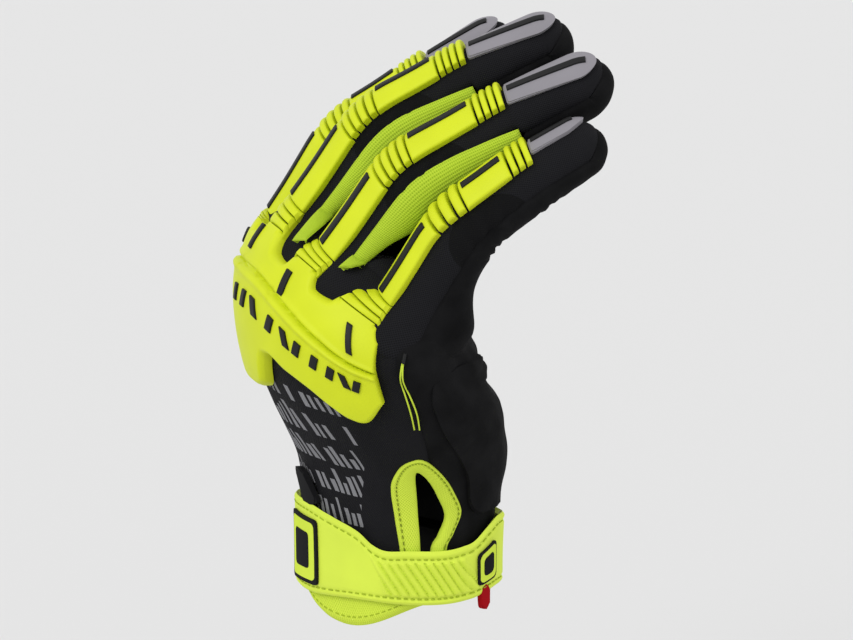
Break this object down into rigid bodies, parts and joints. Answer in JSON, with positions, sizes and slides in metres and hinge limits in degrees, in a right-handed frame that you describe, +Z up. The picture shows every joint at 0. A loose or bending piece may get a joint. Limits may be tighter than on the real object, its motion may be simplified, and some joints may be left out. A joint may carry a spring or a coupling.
{
  "type": "impact glove",
  "caption": "Right-hand work glove with moulded rubber guards over the knuckles and fingers, knit cuff, wide wrist strap and side mesh, in its worn form.",
  "frame": {"origin": "centre of the wrist opening, where the glove sits on the wrist", "axes": "+Z up the hand towards the fingers, +X towards the palm, +Y towards the thumb side"},
  "size_m": [0.0996, 0.1142, 0.1773],
  "materials": {
    "black_fabric": "matte stretch fabric",
    "black_leather": "matte synthetic leather",
    "side_mesh": "open knitted mesh",
    "yellow_rubber": "satin moulded rubber",
    "black_rubber": "satin moulded rubber",
    "reflective_fabric": "grey reflective fabric",
    "red_tape": "matte woven tape",
    "yellow_knit": "matte knit and tape"
  },
  "bodies": {
    "root": {"back_panel": "black_fabric", "palm_panel": "black_leather", "index_back": "black_fabric", "index_palm": "black_leather", "middle_back": "black_fabric", "middle_palm": "black_leather", "ring_back": "black_fabric", "ring_palm": "black_leather", "little_back": "black_fabric", "little_palm": "black_leather", "thumb_back": "black_fabric", "thumb_palm": "black_leather", "index_little_side_mesh": "side_mesh", "middle_little_side_mesh": "side_mesh", "middle_thumb_side_mesh": "side_mesh", "ring_little_side_mesh": "side_mesh", "ring_thumb_side_mesh": "side_mesh", "little_thumb_side_mesh": "side_mesh", "knuckle_guard": "yellow_rubber", "index_knuckle_dash": "black_rubber", "middle_knuckle_dash": "black_rubber", "ring_knuckle_dash": "black_rubber", "little_knuckle_dash": "black_rubber", "index_guard": "yellow_rubber", "index_first_strip": "black_rubber", "index_second_strip": "black_rubber", "index_tip_panel": "reflective_fabric", "index_tip_strip": "black_rubber", "middle_guard": "yellow_rubber", "middle_first_strip": "black_rubber", "middle_second_strip": "black_rubber", "middle_tip_panel": "reflective_fabric", "middle_tip_strip": "black_rubber", "ring_guard": "yellow_rubber", "ring_first_strip": "black_rubber", "ring_second_strip": "black_rubber", "ring_tip_panel": "reflective_fabric", "ring_tip_strip": "black_rubber", "little_guard": "yellow_rubber", "little_first_strip": "black_rubber", "little_second_strip": "black_rubber", "little_tip_panel": "reflective_fabric", "little_tip_strip": "black_rubber", "cuff": "yellow_knit", "slit_binding": "yellow_knit", "wrist_strap": "yellow_knit", "back_patch": "black_fabric", "palm_patch": "black_fabric", "red_pull_tab": "red_tape", "wrist_pull_tab": "black_fabric", "side_piping": "yellow_knit", "palm_heel_pad": "black_leather"}
  },
  "joints": []
}
